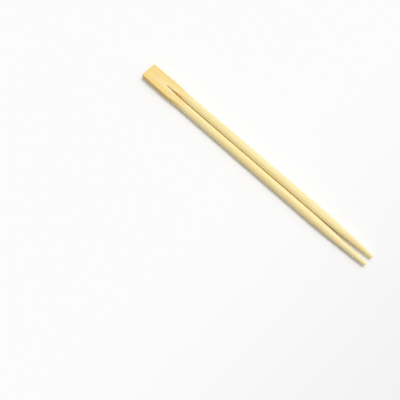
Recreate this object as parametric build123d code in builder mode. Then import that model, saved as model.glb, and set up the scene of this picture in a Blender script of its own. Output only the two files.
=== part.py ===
"""Twin bamboo chopsticks, still joined at the head: one piece of bamboo 230 mm long.

A flat slab is milled to two rounded sticks side by side, a saw slit parts them along all but
the first few centimetres, and the far ends taper to round tips.
Frame: origin at the middle of the footprint, +X from the head to the tips, +Z up.
"""

from build123d import *
import os

os.makedirs("parts", exist_ok=True)

# Driving dimensions, in millimetres
length = 230.0
head_width = 14.4  # where the form cutter starts, and of both sticks together
head_end_width = 13.8
thickness = 5.2
edge_radius = 0.5  # the slab's long and end edges, eased by tumbling
slit_width = 0.65
flare_length = 25.0  # from the head end to where the slab has its full width
slit_start = 22.0  # from the head end to where the saw slit begins
shaped_start = 45.5  # from the head end to where both sticks have their full section
mill_radius = 90.0  # of the form cutter, which leaves hollow run-outs beside the head
land_width = 0.7  # strip of the slab's own face left along each rounded crown
flat_height = 0.9  # strip of the slab's side, and of the slit's, left along each stick
taper_length = 50.0
tip_diameter = 2.9
tip_radius = 0.55

# How much of the full section is left at shares of the taper's length from the tip
taper_shape = [(1.0, 1.0), (0.84, 0.93), (0.6, 0.71), (0.3, 0.365), (0.0, 0.0)]

# Derived positions and sizes
head_end = -length / 2
shaped_x = head_end + shaped_start
taper_x = length / 2 - taper_length
mid_height = thickness / 2
stick_width = (head_width - slit_width) / 2
stick_pitch = (head_width + slit_width) / 2
# A stick's oval stands a little past its width and height, which cut it to those strips
corner_term = (stick_width * thickness) ** 2 - (land_width * flat_height) ** 2
oval_width = (corner_term / (thickness**2 - flat_height**2)) ** 0.5
oval_height = (corner_term / (stick_width**2 - land_width**2)) ** 0.5
cutter_reach = 2.0  # the cutter stands this far past the slab's top and sides
cutter_axis = Axis((shaped_x, 0, mid_height + mill_radius), (0, 1, 0))


def stick_section(x, y, width, height):
    """Section of one stick, across its length: an oval cut to the given width and height."""
    with BuildSketch(Plane.YZ.offset(x)) as section:
        with Locations((y, mid_height)):
            Ellipse(
                oval_width / 2 * width / stick_width, oval_height / 2 * height / thickness
            )
            Rectangle(width, height, mode=Mode.INTERSECT)
    return section.sketch


def tip_sections(y):
    """Sections of one stick from the start of its taper to its tip."""
    sections = []
    for share, size in taper_shape:
        width = tip_diameter + size * (stick_width - tip_diameter)
        height = tip_diameter + size * (thickness - tip_diameter)
        sections.append(stick_section(length / 2 - share * taper_length, y, width, height))
    return sections


# The form cutter's section: everything above the two humps, down to just above mid height
with BuildSketch(Plane.YZ.offset(shaped_x)) as cutter_section:
    with Locations((0, mid_height + 0.2)):
        Rectangle(
            head_width + 2 * cutter_reach,
            mid_height + cutter_reach,
            align=(Align.CENTER, Align.MIN),
        )
    with Locations((-stick_pitch / 2, mid_height), (stick_pitch / 2, mid_height)):
        Ellipse(oval_width / 2, oval_height / 2, mode=Mode.SUBTRACT)

# What the form cutter takes off the top: hollow run-outs, then straight to the tapers
with BuildPart() as top_milling:
    extrude(cutter_section.sketch, amount=taper_x - shaped_x + cutter_reach, dir=(1, 0, 0))
    revolve(cutter_section.sketch, axis=cutter_axis, revolution_arc=35)

with BuildPart() as bamboo_chopsticks:
    # Slab, as far as the tapers
    with BuildSketch() as slab:
        with BuildLine() as outline:
            Polyline(
                (head_end, 0),
                (head_end, head_end_width / 2),
                (head_end + flare_length, head_width / 2),
                (taper_x, head_width / 2),
                (taper_x, 0),
            )
            mirror(about=Plane.XZ)
        make_face()
    extrude(amount=thickness)
    slab_edges = bamboo_chopsticks.edges()
    rim = slab_edges.filter_by(Plane.XY).sort_by(Axis.X)[:-2]
    corners = slab_edges.filter_by(Axis.Z).sort_by(Axis.X)[:2]
    fillet(rim + corners, radius=edge_radius)
    # Both faces milled alike
    add(top_milling.part, mode=Mode.SUBTRACT)
    mirror(top_milling.part, about=Plane.XY.offset(mid_height), mode=Mode.SUBTRACT)
    # Saw slit
    with BuildSketch() as slit:
        with Locations((head_end + slit_start, 0)):
            Rectangle(length, slit_width, align=(Align.MIN, Align.CENTER))
    extrude(amount=thickness, mode=Mode.SUBTRACT)
    # Tapered ends
    for side in (-1, 1):
        loft(tip_sections(side * stick_pitch / 2))
    fillet(bamboo_chopsticks.faces().group_by(Axis.X)[-1].edges(), radius=tip_radius)

bamboo_chopsticks.part.label = "bamboo_chopsticks"
export_step(bamboo_chopsticks.part, "parts/bamboo_chopsticks.step")
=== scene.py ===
"""Bamboo chopsticks on a plain pale floor, in soft light from the far side."""

import math

import bpy
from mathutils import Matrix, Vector


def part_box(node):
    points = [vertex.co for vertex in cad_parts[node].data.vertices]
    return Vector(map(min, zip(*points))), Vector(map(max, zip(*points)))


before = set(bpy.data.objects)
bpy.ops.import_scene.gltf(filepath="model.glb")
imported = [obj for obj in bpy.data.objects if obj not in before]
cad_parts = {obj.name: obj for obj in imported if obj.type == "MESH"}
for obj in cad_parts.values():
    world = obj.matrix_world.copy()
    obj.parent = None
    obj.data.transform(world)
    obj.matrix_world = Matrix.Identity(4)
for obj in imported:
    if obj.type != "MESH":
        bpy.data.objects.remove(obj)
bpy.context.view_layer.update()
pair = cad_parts["bamboo_chopsticks"]
low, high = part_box("bamboo_chopsticks")
mid_height = (low.z + high.z) / 2

# Camera: the point it looks at and its distance from it in metres, its bearing and height
# in degrees, its lens and sensor in millimetres
LOOK_AT = Vector((-0.0068, -0.0508, 0))
AZIMUTH, ELEVATION, DISTANCE = 44.4, 67.5, 0.566
LENS, SENSOR_WIDTH = 67.5, 36

# Where the bamboo's colour and its painted light and shade change, in metres: the start and end of
# each change
HEAD_BORDER = (0.024, 0.050)  # from the head end
HEAD_BORDER_WANDER = 0.02  # how far that border strays along the fibres
# Painted shade on the head's long sides, darker and yellower:
LONG_EDGE_SHADE = (0.0042, 0.0068)  # from the middle of the width
# Painted shade on the sides of the hollow run-outs beside the head:
HOLLOW_SHADE = (0.0024, 0.0014)  # from mid height

# How often each pattern repeats per metre, along, across and up
BROAD_STREAKS = (7, 330, 330)
FINE_FIBRES = (22, 2300, 2300)
CLOUDS = (28, 120, 120)
FLECKS = (95, 2600, 2600)
END_BUNDLES = (0, 2100, 2100)

# Painted shade on the floor: it turns greyer towards the tips, then pale again, in metres along X
FLOOR_SHADE_RISE = (0.0, 0.35)
FLOOR_SHADE_FALL = (0.45, 1.2)
FLOOR_SIZE = 40
FLOOR_GAP = 0.00002  # below the part, so that the two faces don't coincide


def srgb(red, green, blue):
    """Linear colour of 8-bit sRGB values."""
    values = [v / 255 for v in (red, green, blue)]
    linear = [v / 12.92 if v <= 0.04045 else ((v + 0.055) / 1.055) ** 2.4 for v in values]
    return (*linear, 1)


class Nodes:
    """Short calls for the nodes of one material."""

    def __init__(self, name):
        self.material = bpy.data.materials.new(name)
        self.material.use_nodes = True
        self.tree = self.material.node_tree
        self.shader = self.tree.nodes["Principled BSDF"]
        self.position = self.tree.nodes.new("ShaderNodeTexCoord").outputs["Object"]

    def put(self, socket, value):
        """Link a node's output to the socket, or give it a plain value."""
        if isinstance(value, bpy.types.NodeSocket):
            self.tree.links.new(value, socket)
        else:
            socket.default_value = value

    def axis(self, index, source=None):
        """One coordinate of the source, or of the place on the object."""
        node = self.tree.nodes.new("ShaderNodeSeparateXYZ")
        self.put(node.inputs[0], source or self.position)
        return node.outputs[index]

    def stretched(self, scale):
        """The place on the object, scaled along each axis."""
        node = self.tree.nodes.new("ShaderNodeVectorMath")
        node.operation = "MULTIPLY"
        self.put(node.inputs[0], self.position)
        node.inputs[1].default_value = scale
        return node.outputs[0]

    def noise(self, scale, detail, roughness=0.55):
        node = self.tree.nodes.new("ShaderNodeTexNoise")
        self.put(node.inputs["Vector"], self.stretched(scale))
        node.inputs["Scale"].default_value = 1.0
        node.inputs["Detail"].default_value = detail
        node.inputs["Roughness"].default_value = roughness
        return node.outputs["Fac"]

    def cells(self, scale):
        node = self.tree.nodes.new("ShaderNodeTexVoronoi")
        self.put(node.inputs["Vector"], self.stretched(scale))
        node.inputs["Scale"].default_value = 1.0
        return node.outputs["Distance"]

    def span(self, value, start, end, low_value=0.0, high_value=1.0):
        """Smooth change from low_value to high_value, as the value goes from start to end."""
        node = self.tree.nodes.new("ShaderNodeMapRange")
        node.interpolation_type = "SMOOTHSTEP"
        for socket, given in zip(node.inputs, (value, start, end, low_value, high_value)):
            self.put(socket, given)
        return node.outputs[0]

    def math(self, operation, first, second=0.0):
        node = self.tree.nodes.new("ShaderNodeMath")
        node.operation = operation
        self.put(node.inputs[0], first)
        self.put(node.inputs[1], second)
        return node.outputs[0]

    def mix(self, share, first, second):
        """The first colour, with this share of the second."""
        node = self.tree.nodes.new("ShaderNodeMix")
        node.data_type = "RGBA"
        share_socket, first_socket, second_socket = (node.inputs[i] for i in (0, 6, 7))
        self.put(share_socket, share)
        self.put(first_socket, first)
        self.put(second_socket, second)
        return node.outputs[2]


def slab_colour(n, clouds):
    """Pale milled bamboo, partly painted light, deeper on the unmilled head, with painted shade as
    yellower head edges and orange hollows.
    """
    along, across, up = (n.axis(i) for i in range(3))
    # The head keeps the slab's deeper colour, with an uneven border; the paler milled sticks are
    # partly painted light, standing for the light their rounded tops catch
    stray = n.math("MULTIPLY", n.math("SUBTRACT", clouds, 0.5), HEAD_BORDER_WANDER)
    border_start, border_end = (low.x + place for place in HEAD_BORDER)
    head = n.span(n.math("ADD", along, stray), border_start, border_end, 1.0, 0.0)
    # Paler stick colour: partly the milled cut's tone, partly painted light
    colour = n.mix(head, srgb(249, 232, 173), srgb(246, 216, 140))
    # Its long sides and edges get painted shade, darker and yellower
    edge_shade = n.span(n.math("ABSOLUTE", across), *LONG_EDGE_SHADE, 0.0, 0.6)
    colour = n.mix(n.math("MULTIPLY", edge_shade, head), colour, srgb(240, 211, 118))
    # The sides of the hollow run-outs beside the head get painted shade, darker and more orange
    height = n.math("ABSOLUTE", n.math("SUBTRACT", up, mid_height))
    hollow_shade = n.math("MULTIPLY", n.span(height, *HOLLOW_SHADE), head)
    return n.mix(n.math("MULTIPLY", hollow_shade, 0.55), colour, srgb(232, 184, 104))


def fibre_colour(n, colour, broad, fine, clouds):
    """Streaks of the fibres, and short dark flecks where bundles are cut through."""
    colour = n.mix(n.span(broad, 0.42, 0.68, 0.0, 0.5), colour, srgb(243, 214, 140))
    colour = n.mix(n.span(clouds, 0.5, 0.72, 0.0, 0.35), colour, srgb(253, 238, 192))
    colour = n.mix(n.span(fine, 0.50, 0.74, 0.0, 0.5), colour, srgb(221, 184, 110))
    flecks = n.span(n.noise(FLECKS, 1.0), 0.70, 0.76, 0.0, 0.45)
    return n.mix(flecks, colour, srgb(168, 118, 58))


def end_grain(n, colour):
    """Fibre bundles seen end on, where a face looks along X."""
    normal = n.tree.nodes.new("ShaderNodeNewGeometry").outputs["Normal"]
    end_on = n.span(n.math("ABSOLUTE", n.axis(0, normal)), 0.80, 0.95)
    dots = n.span(n.cells(END_BUNDLES), 0.22, 0.42, 1.0, 0.0)
    dotted = n.mix(n.math("MULTIPLY", dots, 0.75), srgb(232, 200, 138), srgb(160, 112, 56))
    return n.mix(end_on, colour, dotted)


def bamboo():
    """Bamboo, with its fibres along X."""
    n = Nodes("bamboo")
    broad = n.noise(BROAD_STREAKS, 2.0)
    fine = n.noise(FINE_FIBRES, 4.0, 0.65)
    clouds = n.noise(CLOUDS, 2.0)
    colour = fibre_colour(n, slab_colour(n, clouds), broad, fine, clouds)
    n.put(n.shader.inputs["Base Color"], end_grain(n, colour))
    n.put(n.shader.inputs["Roughness"], n.span(broad, 0.3, 0.7, 0.42, 0.58))
    n.shader.inputs["Specular IOR Level"].default_value = 0.38
    bump = n.tree.nodes.new("ShaderNodeBump")
    bump.inputs["Strength"].default_value = 0.35
    bump.inputs["Distance"].default_value = 0.00006
    n.put(bump.inputs["Height"], n.math("ADD", fine, n.math("MULTIPLY", broad, 0.8)))
    n.put(n.shader.inputs["Normal"], bump.outputs["Normal"])
    return n.material


def floor_white():
    """Pale matt floor, with painted shade making it a little greyer towards the tips."""
    n = Nodes("floor")
    along = n.axis(0)
    shade = n.math("MULTIPLY", n.span(along, *FLOOR_SHADE_RISE), n.span(along, *FLOOR_SHADE_FALL, 1.0, 0.0))
    n.put(n.shader.inputs["Base Color"], n.mix(shade, srgb(247, 247, 248), srgb(230, 230, 233)))
    n.shader.inputs["Roughness"].default_value = 0.9
    n.shader.inputs["Specular IOR Level"].default_value = 0.1
    return n.material


def key_light():
    """Soft sun from the far side."""
    sun = bpy.data.objects.new("key", bpy.data.lights.new("key", "SUN"))
    sun.data.energy = 1.3
    sun.data.angle = math.radians(26)
    sun.data.color = (1.0, 0.99, 0.97)
    towards_sun = Vector((0.12, 1.0, 2.3))
    sun.rotation_euler = towards_sun.to_track_quat("Z", "Y").to_euler()
    bpy.context.collection.objects.link(sun)


def soft_sky():
    """Even white fill, brightest overhead and a little to the far side."""
    world = bpy.data.worlds.new("world")
    world.use_nodes = True
    nodes, links = world.node_tree.nodes, world.node_tree.links
    background = nodes["Background"]
    upward = nodes.new("ShaderNodeVectorMath")
    upward.operation = "DOT_PRODUCT"
    upward.inputs[1].default_value = (0, 0.4, 0.92)
    links.new(nodes.new("ShaderNodeTexCoord").outputs["Generated"], upward.inputs[0])
    glow = nodes.new("ShaderNodeMapRange")
    glow.inputs["To Min"].default_value = 0.20
    glow.inputs["To Max"].default_value = 0.96
    links.new(upward.outputs["Value"], glow.inputs["Value"])
    # Plain white where the camera sees past the floor
    seen = nodes.new("ShaderNodeMix")
    links.new(nodes.new("ShaderNodeLightPath").outputs["Is Camera Ray"], seen.inputs["Factor"])
    links.new(glow.outputs["Result"], seen.inputs["A"])
    seen.inputs["B"].default_value = 1.0
    background.inputs["Color"].default_value = (1, 1, 1, 1)
    links.new(seen.outputs["Result"], background.inputs["Strength"])
    bpy.context.scene.world = world


def place_camera():
    """Camera above the near side, looking down on the pair."""
    turn, rise = math.radians(AZIMUTH), math.radians(ELEVATION)
    back = Vector(
        (math.sin(turn) * math.cos(rise), -math.cos(turn) * math.cos(rise), math.sin(rise))
    )
    camera = bpy.data.objects.new("camera", bpy.data.cameras.new("camera"))
    camera.data.sensor_width = SENSOR_WIDTH
    camera.data.lens = LENS
    camera.data.clip_start, camera.data.clip_end = 0.01, 20
    camera.location = LOOK_AT + back * DISTANCE
    camera.rotation_euler = back.to_track_quat("Z", "Y").to_euler()
    bpy.context.collection.objects.link(camera)
    bpy.context.scene.camera = camera


# The pair itself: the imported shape, in bamboo
pair.data.materials.clear()
pair.data.materials.append(bamboo())

# Floor
bpy.ops.mesh.primitive_plane_add(size=FLOOR_SIZE, location=(0, 0, low.z - FLOOR_GAP))
floor = bpy.context.object
floor.name = "floor"
floor.data.materials.append(floor_white())

key_light()
soft_sky()
place_camera()
bpy.context.scene.view_settings.view_transform = "Standard"
